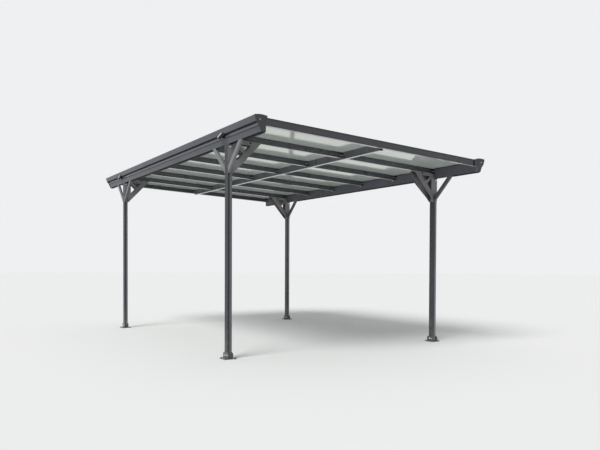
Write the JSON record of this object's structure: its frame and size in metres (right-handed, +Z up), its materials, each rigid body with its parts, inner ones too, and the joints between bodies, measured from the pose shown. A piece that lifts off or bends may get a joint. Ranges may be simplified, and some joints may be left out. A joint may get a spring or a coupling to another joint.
{
  "type": "carport",
  "caption": "Free-standing carport with a single-slope translucent panel roof on a dark aluminium frame, with slim posts, knee braces and foot plates.",
  "frame": {"origin": "on the ground, under the middle of the roof", "axes": "+Z up, +Y to the rear along the length, +X to the low side of the roof"},
  "size_m": [3.041, 5.058, 2.3385],
  "materials": {
    "frame": "satin powder coat, dark grey",
    "brackets": "satin powder coat, mid grey",
    "roofing": "translucent twin-wall sheet",
    "feet": "satin powder coat, dark grey",
    "caps": "moulded, dark grey",
    "fittings": "dark satin"
  },
  "bodies": {
    "root": {"beam_clips": "fittings", "centre_beam": "frame", "centre_cleats": "fittings", "front_left_braces": "brackets", "front_left_end_cap": "caps", "front_left_foot": "feet", "front_left_gusset": "brackets", "front_left_post": "frame", "front_right_braces": "brackets", "front_right_end_cap": "caps", "front_right_foot": "feet", "front_right_gusset": "brackets", "front_right_post": "frame", "glazing_bars": "frame", "left_cleats": "fittings", "left_edge_rail": "frame", "left_side_beam": "frame", "rafter_1": "frame", "rafter_2": "frame", "rafter_3": "frame", "rafter_4": "frame", "rafter_5": "frame", "rafter_6": "frame", "rafter_7": "frame", "rafter_8": "frame", "rear_left_braces": "brackets", "rear_left_end_cap": "caps", "rear_left_foot": "feet", "rear_left_gusset": "brackets", "rear_left_post": "frame", "rear_right_braces": "brackets", "rear_right_end_cap": "caps", "rear_right_foot": "feet", "rear_right_gusset": "brackets", "rear_right_post": "frame", "right_cleats": "fittings", "right_edge_rail": "frame", "right_side_beam": "frame", "roof_panel_1": "roofing", "roof_panel_2": "roofing", "roof_panel_3": "roofing", "roof_panel_4": "roofing", "roof_panel_5": "roofing", "roof_panel_6": "roofing", "roof_panel_7": "roofing"}
  },
  "joints": []
}
